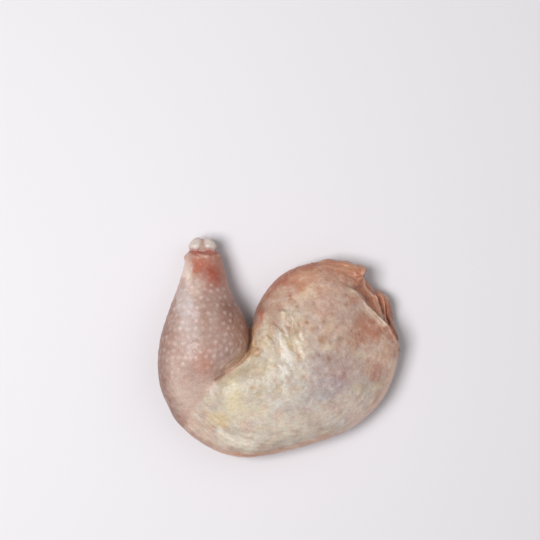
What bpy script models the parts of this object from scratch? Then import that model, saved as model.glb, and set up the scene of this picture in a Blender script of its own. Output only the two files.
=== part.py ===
"""A raw chicken leg quarter, skin side up: drumstick and thigh in one skin, bent at the knee.

Lengths are in millimetres until the mesh is made, which is in metres. +X runs across the thigh to the
hip end, +Y up the drumstick to the hock, and +Z up from the table. It is one solid: the forms below
are joined, the skin is drawn over them, and its creases and folds are pressed in.
"""

import math

import bmesh
import bpy
import numpy as np

MM = 0.001

# Height of the thigh and of the drumstick above the surface under the leg
THIGH_TOP = 41.0
DRUMSTICK_TOP = 42.0

# Drumstick, from the cut skin at the ankle to its lower end in the knee: y, left x, right x, bottom z, top z
DRUMSTICK_STATIONS = (
    (54.5, -54.0, -35.2, 2.6, 21.4),
    (51.8, -54.8, -33.9, 2.2, 22.4),
    (46.0, -55.8, -31.8, 1.6, 24.4),
    (36.0, -58.6, -29.6, 0.6, 28.6),
    (27.5, -61.8, -25.7, 0.0, 33.0),
    (18.5, -65.0, -20.8, -0.6, 37.2),
    (7.0, -68.6, -17.2, -1.0, 41.0),
    (-2.0, -70.1, -17.6, -1.0, DRUMSTICK_TOP),
    (-9.0, -70.6, -22.0, -1.0, 41.2),
    (-15.5, -70.4, -28.6, -1.0, 39.4),
    (-22.5, -69.5, -36.0, -0.6, 36.6),
    (-29.5, -67.4, -43.0, 0.6, 32.8),
    (-36.0, -64.0, -49.6, 4.0, 27.0),
    (-39.0, -60.5, -54.0, 9.0, 20.0),
)
DRUMSTICK_RINGS = 64

# Knuckle of the hock: a spool with an upright axis, whose two rounded rims are the joint's condyles
KNUCKLE_CENTRE = (-44.6, 56.0)
KNUCKLE_WIDTH_SHARE = 1.06
KNUCKLE_PROFILE = (
    (3.4, 2.0),
    (4.1, 5.6),
    (5.8, 7.8),
    (7.8, 8.5),
    (10.2, 7.7),
    (12.0, 7.3),
    (13.8, 7.7),
    (16.2, 8.6),
    (18.4, 7.9),
    (20.0, 5.6),
    (20.7, 2.0),
)

# Thigh seen from above, round its outline from the hip end by the back, the knee and the crease
THIGH_CENTRE = (14.0, -8.0)
THIGH_OUTLINE = (
    (70.8, 0.0),
    (65.8, -20.8),
    (57.0, -35.6),
    (40.0, -49.4),
    (16.0, -58.0),
    (-8.0, -64.0),
    (-24.0, -64.8),
    (-40.0, -59.8),
    (-54.6, -49.8),
    (-64.0, -38.6),
    (-62.0, -27.0),
    (-45.0, -20.0),
    (-28.0, -12.4),
    (-17.0, 1.0),
    (-16.2, 10.0),
    (-14.0, 20.6),
    (-9.8, 29.2),
    (-2.4, 38.6),
    (7.0, 45.0),
    (20.0, 49.0),
    (34.0, 49.6),
    (46.0, 46.0),
    (54.4, 34.0),
    (60.6, 23.0),
    (66.6, 13.4),
)
THIGH_EDGE_HEIGHT = 13.0
THIGH_DROP_TO_HIP = 7.0
THIGH_DROP_SPAN = (25.0, 66.0)

# Meat and membrane that show past the cut skin at the hip end, a step lower than the thigh
HIP_TISSUE_CENTRE = (40.0, 26.0)
HIP_TISSUE_OUTLINE = (
    (23.6, 49.2),
    (35.2, 50.4),
    (44.0, 48.4),
    (49.6, 46.8),
    (51.2, 44.4),
    (49.2, 41.0),
    (50.4, 38.2),
    (51.2, 34.9),
    (54.0, 32.6),
    (57.4, 29.0),
    (59.0, 25.0),
    (58.6, 20.4),
    (61.8, 15.6),
    (64.0, 10.0),
    (55.0, 1.5),
    (36.0, 8.0),
    (21.0, 27.0),
)
HIP_TISSUE_EDGE_HEIGHT = 17.0
HIP_TISSUE_TOP = 28.0
HIP_TISSUE_DROP = 4.0
HIP_TISSUE_DROP_SPAN = (40.0, 60.0)

# Two rolls of skin tucked under the hip end: path of x, y and centre height, half width and half height
HIP_ROLLS = (
    (((49.5, 33.0, 10.0), (55.8, 30.6, 11.0), (60.2, 25.8, 11.6), (61.8, 20.0, 11.6),
      (63.0, 14.0, 11.0), (66.2, 7.0, 10.0)), 2.3, 6.2),
    (((53.0, 32.4, 6.4), (58.8, 31.0, 7.0), (63.0, 26.4, 7.4), (64.6, 20.0, 7.6),
      (66.0, 12.0, 7.8), (68.6, 3.0, 8.0)), 2.2, 6.4),
)
ROLL_RINGS = 40

# How finely the joined forms are skinned, how far each part is rounded, and the triangles that are kept
SKIN_GRID = 1.1
ROUND_ALL = 0.9
ROUND_KNEE = 6.0
KNEE_CENTRE = (-48.0, -31.0)
KNEE_REACH = 24.0
ROUND_BACK = 6.0
BACK_CENTRE = (-4.0, -17.0)
BACK_REACH = (30.0, 13.0)
ROUND_RELIEF = 0.5
TRIANGLES = 9400
RING_POINTS = 72

# Crease between drumstick and thigh, from the open notch down to where it fades on the knee. It is narrower on
# the thigh's side, whose fat stands up along it and falls off inwards.
CREASE_PATH = ((-16.4, 14.0), (-16.8, 4.0), (-17.6, -2.6), (-22.0, -8.4), (-28.6, -12.6), (-39.0, -19.6))
CREASE_WIDTH = 2.4
CREASE_DEPTH = 3.0
CREASE_THIGH_SHARE = 0.45
THIGH_EDGE_RISE = 5.0
THIGH_EDGE_FADE = 4.5

# Cut edge of the skin at the hip end: soft at the back, then a thin raised lip with the meat a step lower
LIP_PATH = ((35.2, 34.9), (41.0, 34.4), (45.7, 31.5), (49.2, 27.4), (53.8, 22.2), (58.4, 18.1), (65.4, 11.2), (70.0, 2.0))
LIP_WIDTH = 1.4
LIP_HEIGHT = 1.0
LIP_STEP = 3.4
LIP_STEP_WIDTH = 1.6
LIP_STEP_REACH = 10.0

# Wrinkles of the fatty skin beside the crease, which wander, and lumps of fat under it
WRINKLE_CENTRE = (-2.0, 1.0)
WRINKLE_REACH = (12.0, 15.0)
WRINKLE_PITCH = 6.0
WRINKLE_HEADING = 56.0
WRINKLE_DEPTH = 0.42
WRINKLE_WANDER = 1.7
WRINKLE_WANDER_LENGTH = 19.0
LUMP_CENTRE = (3.0, 14.5)
LUMP_SPREAD = 6.5
LUMP_COUNT = 12
LUMP_RADIUS = 2.3
LUMP_HEIGHT = 0.9
LUMP_SEED = 5

# Broad swells of muscle and fat that show through the skin: x, y, radius, height
SWELLS = (
    (-50.0, 4.0, 14.0, 0.8),
    (-30.0, -44.0, 16.0, 1.2),
    (38.0, -14.0, 18.0, -1.4),
    (10.0, -32.0, 20.0, 1.0),
    (2.0, 16.0, 10.0, 1.1),
    (48.0, 6.0, 9.0, -1.3),
    (52.0, -22.0, 10.0, 0.9),
)

COLOURS = {
    "fatty_skin": (0.604, 0.479, 0.371),
    "thin_skin": (0.479, 0.319, 0.266),
    "hip_meat": (0.371, 0.178, 0.119),
    "cartilage": (0.694, 0.651, 0.578),
}
WET_ROUGHNESS = 0.42


def clear_scene():
    for thing in list(bpy.data.objects):
        bpy.data.objects.remove(thing)


def curve_through(points, count, closed=False):
    """`count` points along a smooth curve through the given ones, evenly spread between them."""
    points = np.asarray(points, float)
    if closed:
        padded = np.vstack([points[-1:], points, points[:2]])
        spans = len(points)
    else:
        padded = np.vstack([2 * points[:1] - points[1:2], points, 2 * points[-1:] - points[-2:-1]])
        spans = len(points) - 1
    at = np.linspace(0, spans, count, endpoint=not closed)
    first = np.minimum(at.astype(int), spans - 1)
    t = (at - first)[:, None]
    a, b, c, d = (padded[first + k] for k in range(4))
    return 0.5 * (2 * b + (c - a) * t + (2 * a - 5 * b + 4 * c - d) * t**2 + (3 * b - a - 3 * c + d) * t**3)


def smooth_step(low, high, value):
    t = np.clip((value - low) / (high - low), 0, 1)
    return t * t * (3 - 2 * t)


def mesh_of_rings(name, rings):
    """A closed object from rings of equally many points, bridged in order and capped at both ends."""
    made = bmesh.new()
    loops = [[made.verts.new(point) for point in ring] for ring in rings]
    for near, far in zip(loops, loops[1:]):
        for i, corner in enumerate(near):
            j = (i + 1) % len(near)
            made.faces.new((corner, near[j], far[j], far[i]))
    made.faces.new(loops[0])
    made.faces.new(loops[-1])
    bmesh.ops.recalc_face_normals(made, faces=made.faces)
    mesh = bpy.data.meshes.new(name)
    made.to_mesh(mesh)
    made.free()
    form = bpy.data.objects.new(name, mesh)
    bpy.context.scene.collection.objects.link(form)
    return form


def upright_ring(centre, side, half_width, half_height):
    """An ellipse that stands on edge: `side` is its level direction."""
    turn = np.linspace(0, 2 * math.pi, RING_POINTS, endpoint=False)[:, None]
    up = np.array((0.0, 0.0, 1.0))
    return centre + side * np.cos(turn) * half_width + up * np.sin(turn) * half_height


def drumstick_form():
    rings = []
    for y, left, right, bottom, top in curve_through(DRUMSTICK_STATIONS, DRUMSTICK_RINGS):
        centre = np.array(((left + right) / 2, y, (bottom + top) / 2))
        rings.append(upright_ring(centre, np.array((1.0, 0.0, 0.0)), (right - left) / 2, (top - bottom) / 2))
    return mesh_of_rings("drumstick", rings)


def knuckle_form():
    turn = np.linspace(0, 2 * math.pi, RING_POINTS, endpoint=False)
    rings = []
    for height, radius in KNUCKLE_PROFILE:
        rings.append(np.column_stack([
            KNUCKLE_CENTRE[0] + radius * KNUCKLE_WIDTH_SHARE * np.cos(turn),
            KNUCKLE_CENTRE[1] + radius * np.sin(turn),
            np.full(RING_POINTS, height),
        ]))
    return mesh_of_rings("knuckle", rings)


def pillow_form(name, outline, centre, edge_height, top_at):
    """A flat-bottomed dome over an outline. `top_at` gives the crown's height at a place."""
    dome_power, dome_round, base_power, sink = 2.4, 0.5, 8.0, 1.0
    rim = curve_through(outline, 3 * RING_POINTS, closed=True)
    centre = np.array(centre)
    shares = np.sin(np.linspace(0, math.pi / 2, 26))[1:]
    rings = []
    for share in shares:
        level = centre + share * (rim - centre)
        drop = (1 - share**base_power) ** dome_round
        rings.append(np.column_stack([level, np.full(len(rim), edge_height - (edge_height + sink) * drop)]))
    for share in shares[-2::-1]:
        level = centre + share * (rim - centre)
        rise = (1 - share**dome_power) ** dome_round
        rings.append(np.column_stack([level, edge_height + (top_at(level) - edge_height) * rise]))
    return mesh_of_rings(name, rings)


def thigh_form():
    def top_at(level):
        return THIGH_TOP - THIGH_DROP_TO_HIP * smooth_step(*THIGH_DROP_SPAN, level[:, 0])

    return pillow_form("thigh", THIGH_OUTLINE, THIGH_CENTRE, THIGH_EDGE_HEIGHT, top_at)


def hip_tissue_form():
    def top_at(level):
        return HIP_TISSUE_TOP - HIP_TISSUE_DROP * smooth_step(*HIP_TISSUE_DROP_SPAN, level[:, 0])

    return pillow_form("hip_tissue", HIP_TISSUE_OUTLINE, HIP_TISSUE_CENTRE, HIP_TISSUE_EDGE_HEIGHT, top_at)


def hip_roll_form(number, path, half_width, half_height):
    line = curve_through(path, ROLL_RINGS)
    heading = np.gradient(line[:, :2], axis=0)
    heading /= np.linalg.norm(heading, axis=1)[:, None]
    rings = []
    for k, (centre, (ahead_x, ahead_y)) in enumerate(zip(line, heading)):
        end = math.sin(math.pi * (k + 0.5) / ROLL_RINGS) ** 0.4
        side = np.array((ahead_y, -ahead_x, 0.0))
        rings.append(upright_ring(centre, side, half_width * end, half_height * end))
    return mesh_of_rings(f"hip_roll_{number}", rings)


def joined_skin(forms):
    """One closed skin over all the forms, as points, edges and faces. The forms are used up."""
    body, others = forms[0], forms[1:]
    group = bpy.data.collections.new("joined_forms")
    for form in others:
        group.objects.link(form)
    union = body.modifiers.new("union", "BOOLEAN")
    union.operation = "UNION"
    union.solver = "EXACT"
    union.operand_type = "COLLECTION"
    union.collection = group
    cover = body.modifiers.new("cover", "REMESH")
    cover.mode = "VOXEL"
    cover.voxel_size = SKIN_GRID
    bpy.context.view_layer.update()
    skin = bpy.data.meshes.new_from_object(body.evaluated_get(bpy.context.evaluated_depsgraph_get()))
    for form in forms:
        bpy.data.objects.remove(form)
    bpy.data.collections.remove(group)
    return skin


def points_of(mesh):
    flat = np.empty(len(mesh.vertices) * 3, np.float32)
    mesh.vertices.foreach_get("co", flat)
    return flat.reshape(-1, 3).astype(float)


def normals_of(mesh):
    flat = np.empty(len(mesh.vertices) * 3, np.float32)
    mesh.vertices.foreach_get("normal", flat)
    return flat.reshape(-1, 3).astype(float)


def set_points(mesh, points):
    mesh.vertices.foreach_set("co", points.astype(np.float32).ravel())
    mesh.update()


def rounded(mesh, points, reach, share):
    """The points moved towards their neighbours' middle until creases round off over `reach`."""
    ends = np.empty(len(mesh.edges) * 2, np.int32)
    mesh.edges.foreach_get("vertices", ends)
    one, other = ends.reshape(-1, 2).T
    count = np.bincount(ends, minlength=len(points))[:, None]
    for _ in range(max(1, round(2 * (reach / SKIN_GRID) ** 2))):
        total = np.column_stack([
            np.bincount(one, points[other, k], len(points)) + np.bincount(other, points[one, k], len(points))
            for k in range(3)
        ])
        points = points + share[:, None] * (total / count - points)
    return points


def near_path(points, path):
    """Level distance of each point to a smooth path, positive on its left, and the share of the way along it."""
    line = curve_through(path, 60)
    away = points[:, None, :2] - line[None, :, :]
    gap = np.linalg.norm(away, axis=2)
    nearest = gap.argmin(axis=1)
    rows = np.arange(len(points))
    ahead = np.gradient(line, axis=0)[nearest]
    side = np.sign(ahead[:, 0] * away[rows, nearest, 1] - ahead[:, 1] * away[rows, nearest, 0])
    return side * gap[rows, nearest], nearest / (len(line) - 1)


def bell(distance, width):
    return np.exp(-((distance / width) ** 2))


def pressed_relief(points, normals):
    """How far the upper skin is raised at each point, in millimetres. Creases and steps are negative."""
    x, y = points[:, 0], points[:, 1]
    gap, along = near_path(points, CREASE_PATH)
    fade = 1 - along**1.5
    width = CREASE_WIDTH * np.where(gap > 0, CREASE_THIGH_SHARE, 1.0)
    relief = -CREASE_DEPTH * bell(gap, width) * fade
    relief += THIGH_EDGE_RISE * np.exp(-np.maximum(gap, 0) / THIGH_EDGE_FADE) * smooth_step(-0.3, 1.2, gap) * fade

    gap, along = near_path(points, LIP_PATH)
    crisp = smooth_step(0.0, 0.4, along)
    past = smooth_step(-0.5 * LIP_STEP_WIDTH, 0.5 * LIP_STEP_WIDTH, gap) * smooth_step(LIP_STEP_REACH, 5.0, gap)
    relief -= LIP_STEP * (0.3 + 0.7 * crisp) * past * smooth_step(0.0, 0.12, along)
    relief += LIP_HEIGHT * crisp * bell(gap + LIP_WIDTH, LIP_WIDTH)

    heading = math.radians(WRINKLE_HEADING)
    across = x * math.sin(heading) + y * math.cos(heading)
    down = x * math.cos(heading) - y * math.sin(heading)
    turn = 2 * math.pi / WRINKLE_WANDER_LENGTH
    across += WRINKLE_WANDER * (np.sin(turn * down) + 0.6 * np.sin(1.7 * turn * (down + 0.5 * across)))
    inside = bell(np.linalg.norm((points[:, :2] - WRINKLE_CENTRE) / WRINKLE_REACH, axis=1), 1.0)
    uneven = 1 + 0.5 * np.sin(turn * (across - down))
    relief += WRINKLE_DEPTH * uneven * np.sin(2 * math.pi * across / WRINKLE_PITCH) * inside

    draw = np.random.default_rng(LUMP_SEED)
    for dx, dy, size in draw.uniform(-1, 1, size=(LUMP_COUNT, 3)):
        gap = np.hypot(x - LUMP_CENTRE[0] - LUMP_SPREAD * dx, y - LUMP_CENTRE[1] - LUMP_SPREAD * dy)
        relief += LUMP_HEIGHT * (1 + 0.3 * size) * bell(gap, LUMP_RADIUS * (1 - 0.3 * size))

    for swell_x, swell_y, radius, height in SWELLS:
        relief += height * bell(np.hypot(x - swell_x, y - swell_y), radius)
    return relief * smooth_step(0.0, 0.5, normals[:, 2])


def thinned(mesh):
    """The mesh with its triangles brought down to TRIANGLES, most where it is flattest."""
    mesh.calc_loop_triangles()
    helper = bpy.data.objects.new("thinned", mesh)
    bpy.context.scene.collection.objects.link(helper)
    thin = helper.modifiers.new("thin", "DECIMATE")
    thin.ratio = TRIANGLES / len(mesh.loop_triangles)
    bpy.context.view_layer.update()
    made = bpy.data.meshes.new_from_object(helper.evaluated_get(bpy.context.evaluated_depsgraph_get()))
    bpy.data.objects.remove(helper)
    return made


def material(name, colour):
    made = bpy.data.materials.new(name)
    made.use_nodes = True
    shader = made.node_tree.nodes["Principled BSDF"]
    shader.inputs["Base Color"].default_value = (*colour, 1.0)
    shader.inputs["Roughness"].default_value = WET_ROUGHNESS
    shader.inputs["Metallic"].default_value = 0.0
    return made


def colour_faces(mesh):
    """Gives each face the material of its part: knuckle, hip meat, drumstick skin or the thigh's fatty skin."""
    slots = {name: number for number, name in enumerate(COLOURS)}
    for name, colour in COLOURS.items():
        mesh.materials.append(material(name, colour))
    middles = np.array([face.center for face in mesh.polygons]) / MM
    past_lip, along = near_path(middles, LIP_PATH)
    past_crease, _ = near_path(middles, CREASE_PATH)
    chosen = np.full(len(middles), slots["fatty_skin"])
    chosen[(past_crease < 0) & (middles[:, 0] < CREASE_PATH[0][0])] = slots["thin_skin"]
    chosen[(past_lip > 0) & (along > 0)] = slots["hip_meat"]
    chosen[middles[:, 1] > DRUMSTICK_STATIONS[0][0] + 0.4] = slots["cartilage"]
    mesh.polygons.foreach_set("material_index", chosen.astype(np.int32))


def leg_quarter():
    forms = [thigh_form(), drumstick_form(), knuckle_form(), hip_tissue_form()]
    forms += [hip_roll_form(number, *roll) for number, roll in enumerate(HIP_ROLLS, 1)]
    mesh = joined_skin(forms)

    points = points_of(mesh)
    points = rounded(mesh, points, ROUND_ALL, np.full(len(points), 0.5))
    knee = smooth_step(KNEE_REACH, KNEE_REACH * 0.4, np.linalg.norm(points[:, :2] - KNEE_CENTRE, axis=1))
    points = rounded(mesh, points, ROUND_KNEE, 0.6 * knee)
    back = bell(np.linalg.norm((points[:, :2] - BACK_CENTRE) / BACK_REACH, axis=1), 1.0)
    points = rounded(mesh, points, ROUND_BACK, 0.6 * back)
    set_points(mesh, points)
    points[:, 2] += pressed_relief(points, normals_of(mesh))
    points = rounded(mesh, points, ROUND_RELIEF, np.full(len(points), 0.5))
    set_points(mesh, points)

    mesh = thinned(mesh)
    points = points_of(mesh)
    points[:, 2] = np.maximum(points[:, 2], 0.0)
    middle = (points.min(axis=0) + points.max(axis=0)) / 2
    points[:, :2] -= middle[:2]
    set_points(mesh, points * MM)
    colour_faces(mesh)
    mesh.shade_smooth()
    mesh.name = "leg_quarter"
    leg = bpy.data.objects.new("leg_quarter", mesh)
    bpy.context.scene.collection.objects.link(leg)
    return leg


clear_scene()
leg_quarter()
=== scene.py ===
import math

import bmesh
import bpy
import numpy as np
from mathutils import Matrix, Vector, noise


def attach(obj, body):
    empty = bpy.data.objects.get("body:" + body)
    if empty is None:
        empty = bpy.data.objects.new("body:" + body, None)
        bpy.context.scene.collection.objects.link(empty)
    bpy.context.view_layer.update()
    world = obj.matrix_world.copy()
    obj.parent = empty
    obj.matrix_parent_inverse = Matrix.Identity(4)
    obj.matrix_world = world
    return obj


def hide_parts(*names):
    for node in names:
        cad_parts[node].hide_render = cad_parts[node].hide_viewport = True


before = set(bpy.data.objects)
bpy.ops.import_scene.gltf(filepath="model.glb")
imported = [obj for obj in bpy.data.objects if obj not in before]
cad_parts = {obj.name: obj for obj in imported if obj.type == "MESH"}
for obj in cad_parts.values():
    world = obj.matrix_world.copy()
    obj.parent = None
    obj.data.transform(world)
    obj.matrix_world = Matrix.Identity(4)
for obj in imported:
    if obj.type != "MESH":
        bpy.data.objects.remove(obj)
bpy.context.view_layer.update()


# Skin of the whole leg: one bag of raw chicken skin over drumstick, knee and thigh, cut off round the
# hock and across the hip. It is drawn from the solid, finely meshed, and its creases, folds and the
# cut edge's lip are pressed in. Places are in millimetres, seen from above, from the middle of the leg.
MM = 0.001
SKIN_GRID = 0.53
SKIN_FACES_KEPT = 0.54
SKIN_SETTLE_STEPS = 16

# The crease between drumstick and thigh, the skin's cut edge across the hip, and its end at the hock
CREASE = (
    (-15.4, 15.0), (-15.5, 8.0), (-16.3, 3.0), (-17.4, -2.6), (-22.0, -8.4), (-28.6, -12.8), (-39.0, -19.0),
)
HIP_CUT = (
    (26.0, 52.0), (30.5, 44.5), (34.5, 38.0), (40.0, 35.4), (43.8, 33.6), (47.2, 31.0),
    (49.4, 28.4), (50.8, 25.2), (54.0, 22.0), (57.2, 18.9), (60.8, 15.4), (64.4, 11.8),
    (66.4, 8.0), (69.2, 3.4), (71.2, -1.0), (73.0, -8.0),
)
HOCK_CUT = 53.6

# How far the skin draws back beyond those cuts, how high the thigh's fat stands over the crease, and the
# line that the hock lies to the left of
SKIN_UNDER_HIP = 2.4
SKIN_UNDER_HOCK = 1.6
CREASE_HEIGHT = 1.6
RIGHT_OF_HOCK = -25.0

# Wrinkles of the fatty skin beside the crease and elsewhere: path, half width, height
WRINKLES = (
    (((-4.6, 16.6), (-3.4, 14.4), (-1.0, 12.4), (1.2, 10.2), (3.0, 8.4)), 0.65, -1.1),
    (((0.6, 13.6), (1.8, 12.4), (3.0, 11.4)), 0.5, 0.8),
    (((-5.4, 12.2), (-3.4, 13.0), (-0.6, 10.8), (1.2, 9.2)), 0.55, 0.6),
    (((-0.2, 20.0), (1.6, 20.7), (3.8, 20.4)), 0.5, 1.1),
    (((1.0, 17.6), (2.4, 18.2), (4.2, 17.4)), 0.45, 0.7),
    (((2.2, 9.0), (3.4, 7.6), (5.0, 7.2)), 0.5, 0.7),
    (((9.2, 14.6), (10.4, 13.0), (11.2, 11.0)), 0.5, 0.6),
    (((-8.6, 14.2), (-6.8, 15.4), (-4.9, 16.8)), 0.6, -0.5),
    (((-0.6, 22.2), (1.6, 22.4), (4.0, 21.8)), 0.8, -0.7),
    (((0.8, 18.8), (1.8, 17.4), (2.6, 15.8)), 0.65, 0.9),
    (((6.5, 16.8), (6.4, 14.6), (6.6, 12.2)), 0.6, -0.7),
    (((7.4, 15.6), (7.3, 13.4), (7.8, 11.2)), 0.55, 0.9),
    (((10.6, 15.4), (11.6, 13.4), (10.6, 11.4)), 0.7, -0.5),
    (((-10.4, 6.2), (-7.6, 7.1), (-5.2, 6.0), (-3.6, 4.2), (-2.8, 1.8)), 0.65, -0.8),
    (((-10.6, 10.4), (-7.6, 10.9), (-4.8, 10.2)), 0.7, -0.4),
    (((-16.0, -0.4), (-13.4, 0.4), (-11.0, -0.6), (-8.6, -2.0)), 0.6, -1.0),
    (((-15.0, -4.2), (-12.2, -3.8), (-9.6, -5.0)), 0.8, -0.4),
    (((-13.8, 3.4), (-11.8, 4.6), (-9.6, 4.0)), 0.7, -0.4),
    (((-9.8, 4.4), (-7.0, 3.4), (-6.0, 0.6)), 1.0, 0.6),
    (((-37.8, -18.6), (-34.6, -16.6), (-30.6, -13.6)), 0.6, -0.9),
    (((-36.4, -15.8), (-33.4, -14.2), (-30.4, -11.6)), 0.6, -0.5),
    (((-19.6, 3.6), (-22.6, -3.0), (-28.4, -8.4), (-33.0, -12.4)), 0.5, -0.6),
    (((-20.6, 6.4), (-25.0, -0.6), (-31.6, -6.6)), 0.55, -0.45),
    (((-21.4, -1.0), (-26.6, -7.6), (-31.0, -10.8)), 0.5, 0.4),
    (((-3.6, 8.3), (-0.6, 4.6), (2.8, 1.0), (6.4, -3.4), (10.3, -7.7)), 1.8, 0.48),
    (((2.0, 5.4), (5.4, 1.0), (9.4, -2.0), (12.8, -5.1)), 1.2, -0.42),
    (((6.3, 6.0), (10.0, 4.4), (14.0, 2.6), (18.0, 1.3)), 1.5, 0.28),
    (((-8.6, -3.0), (-5.0, -7.0), (-2.6, -12.0)), 1.4, 0.45),
    (((-3.4, 0.4), (-0.6, -4.8), (2.4, -9.6)), 1.2, -0.45),
    (((9.6, 7.6), (12.4, 4.6), (14.8, 0.8)), 1.2, -0.45),
    (((12.2, 1.6), (14.6, -3.0), (17.6, -6.0)), 1.3, 0.35),
    (((16.0, 47.4), (24.0, 49.0), (33.0, 48.8), (42.0, 46.8)), 0.6, -0.9),
    (((12.0, 44.6), (20.0, 46.6), (29.0, 47.2), (37.0, 46.2)), 0.55, 0.6),
    (((8.0, 42.2), (16.0, 44.4), (24.0, 45.2), (32.0, 45.0)), 0.6, -0.5),
    (((-7.6, 33.6), (-3.0, 38.4), (4.0, 41.6)), 0.8, -0.4),
    (((-24.0, -59.4), (-12.0, -60.4), (0.0, -58.6), (12.0, -54.6)), 0.7, -0.5),
    (((5.2, 27.8), (8.0, 28.2), (10.4, 25.6)), 0.8, -0.5),
    (((-44.0, 47.0), (-38.0, 44.6), (-33.6, 40.4)), 0.8, -0.5),
    (((-53.4, 46.6), (-50.0, 42.0), (-49.0, 36.0)), 0.9, -0.35),
)

# Where fine ridges crinkle the fat, drawn out across the crease: x, y, half width, half length
CRINKLED = (-0.5, 11.0, 9.5, 13.0)
CRINKLE_HEIGHT = 0.66

# Small fat lumps that shine beside the wrinkles: x, y, radius, height
FAT_LUMPS = (
    (3.6, 18.6, 0.9, 0.8),
    (4.6, 14.8, 0.8, 0.8),
    (-4.9, 12.3, 0.8, 0.6),
    (-3.3, 13.0, 0.8, 0.6),
    (0.6, 9.4, 0.9, 0.5),
    (3.2, 8.1, 0.8, 0.7),
    (4.9, 7.4, 0.7, 0.6),
    (8.6, 9.4, 0.9, 0.6),
    (10.4, 20.6, 1.8, 0.5),
    (1.2, 14.2, 1.4, 0.4),
    (12.6, 27.4, 1.8, 0.4),
    (-13.2, -2.0, 1.0, 0.5),
    (-12.4, 6.6, 1.4, 0.4),
)


def curve_through(points, count):
    """`count` points along a smooth curve through the given ones."""
    points = np.asarray(points, float)
    padded = np.vstack([2 * points[:1] - points[1:2], points, 2 * points[-1:] - points[-2:-1]])
    at = np.linspace(0, len(points) - 1, count)
    first = np.minimum(at.astype(int), len(points) - 2)
    t = (at - first)[:, None]
    a, b, c, d = (padded[first + k] for k in range(4))
    return 0.5 * (2 * b + (c - a) * t + (2 * a - 5 * b + 4 * c - d) * t**2 + (3 * b - a - 3 * c + d) * t**3)


def smooth_step(low, high, value):
    t = np.clip((value - low) / (high - low), 0, 1)
    return t * t * (3 - 2 * t)


def bell(distance, width):
    return np.exp(-((distance / width) ** 2))


def oval(points, x, y, wide, long):
    """A soft oval patch: 1 in its middle, and less with each point's level distance from it."""
    return bell(np.hypot((points[:, 0] - x) / wide, (points[:, 1] - y) / long), 1.0)


def near_path(points, path):
    """Level distance of each point to a path, positive on its left, and the share of the way along it."""
    line = curve_through(path, 48)
    away = points[:, None, :2] - line[None, :, :]
    gap = np.linalg.norm(away, axis=2)
    nearest = gap.argmin(axis=1)
    rows = np.arange(len(points))
    ahead = np.gradient(line, axis=0)[nearest]
    side = np.sign(ahead[:, 0] * away[rows, nearest, 1] - ahead[:, 1] * away[rows, nearest, 0])
    return side * gap[rows, nearest], nearest / (len(line) - 1)


def points_of(mesh, kind="co"):
    flat = np.empty(len(mesh.vertices) * 3, np.float32)
    mesh.vertices.foreach_get(kind, flat)
    return flat.reshape(-1, 3).astype(float)


def set_points(mesh, points):
    mesh.vertices.foreach_set("co", points.astype(np.float32).ravel())
    mesh.update()


def settled(mesh, points, steps, share=0.5):
    """The points moved towards the middle of their neighbours, `steps` times."""
    ends = np.empty(len(mesh.edges) * 2, np.int32)
    mesh.edges.foreach_get("vertices", ends)
    one, other = ends.reshape(-1, 2).T
    count = np.bincount(ends, minlength=len(points))[:, None]
    for _ in range(steps):
        total = np.column_stack([
            np.bincount(one, points[other, k], len(points)) + np.bincount(other, points[one, k], len(points))
            for k in range(3)
        ])
        points = points + share * (total / count - points)
    return points


def noise_at(points, size, seed):
    """Smooth noise from -1 to 1 at each point, with lumps of about `size`."""
    shift = Vector((seed * 17.3, seed * 5.1, seed * 9.7))
    return np.array([noise.noise(Vector(point) / size + shift) for point in points])


def remeshed(source, name, grid, cut=None):
    """A new mesh object: `source`'s shape in even quads `grid` millimetres wide.

    `cut` is a plane, by a place on it and the direction in which the shape is kept.
    """
    copy = source.data.copy()
    welded = bmesh.new()
    welded.from_mesh(copy)
    bmesh.ops.remove_doubles(welded, verts=welded.verts, dist=1e-6)
    if cut:
        whole = welded.verts[:] + welded.edges[:] + welded.faces[:]
        place, kept = Vector(cut[0]) * MM, Vector(cut[1])
        bmesh.ops.bisect_plane(welded, geom=whole, plane_co=place, plane_no=kept, clear_inner=True)
        bmesh.ops.holes_fill(welded, edges=[edge for edge in welded.edges if edge.is_boundary])
    welded.to_mesh(copy)
    welded.free()
    holder = bpy.data.objects.new(name + "_holder", copy)
    bpy.context.scene.collection.objects.link(holder)
    cover = holder.modifiers.new("cover", "REMESH")
    cover.mode = "VOXEL"
    cover.voxel_size = grid * MM
    bpy.context.view_layer.update()
    mesh = bpy.data.meshes.new_from_object(holder.evaluated_get(bpy.context.evaluated_depsgraph_get()))
    bpy.data.objects.remove(holder)
    bpy.data.meshes.remove(copy)
    mesh.name = name
    mesh.materials.clear()
    made = bpy.data.objects.new(name, mesh)
    bpy.context.scene.collection.objects.link(made)
    return made


def thinned_below(piece, ratio):
    """Joins faces of the piece that point down or sideways, until `ratio` of all its faces is left."""
    below = smooth_step(0.45, -0.1, points_of(piece.data, "normal")[:, 2])
    group = piece.vertex_groups.new(name="below")
    for level in range(1, 6):
        rows = np.flatnonzero(np.ceil(below * 5) == level)
        group.add(rows.tolist(), level / 5, "REPLACE")
    step = piece.modifiers.new("thin", "DECIMATE")
    step.ratio = ratio
    step.vertex_group = group.name
    bpy.context.view_layer.update()
    made = bpy.data.meshes.new_from_object(piece.evaluated_get(bpy.context.evaluated_depsgraph_get()))
    piece.modifiers.remove(step)
    piece.vertex_groups.clear()
    piece.data = made


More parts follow.
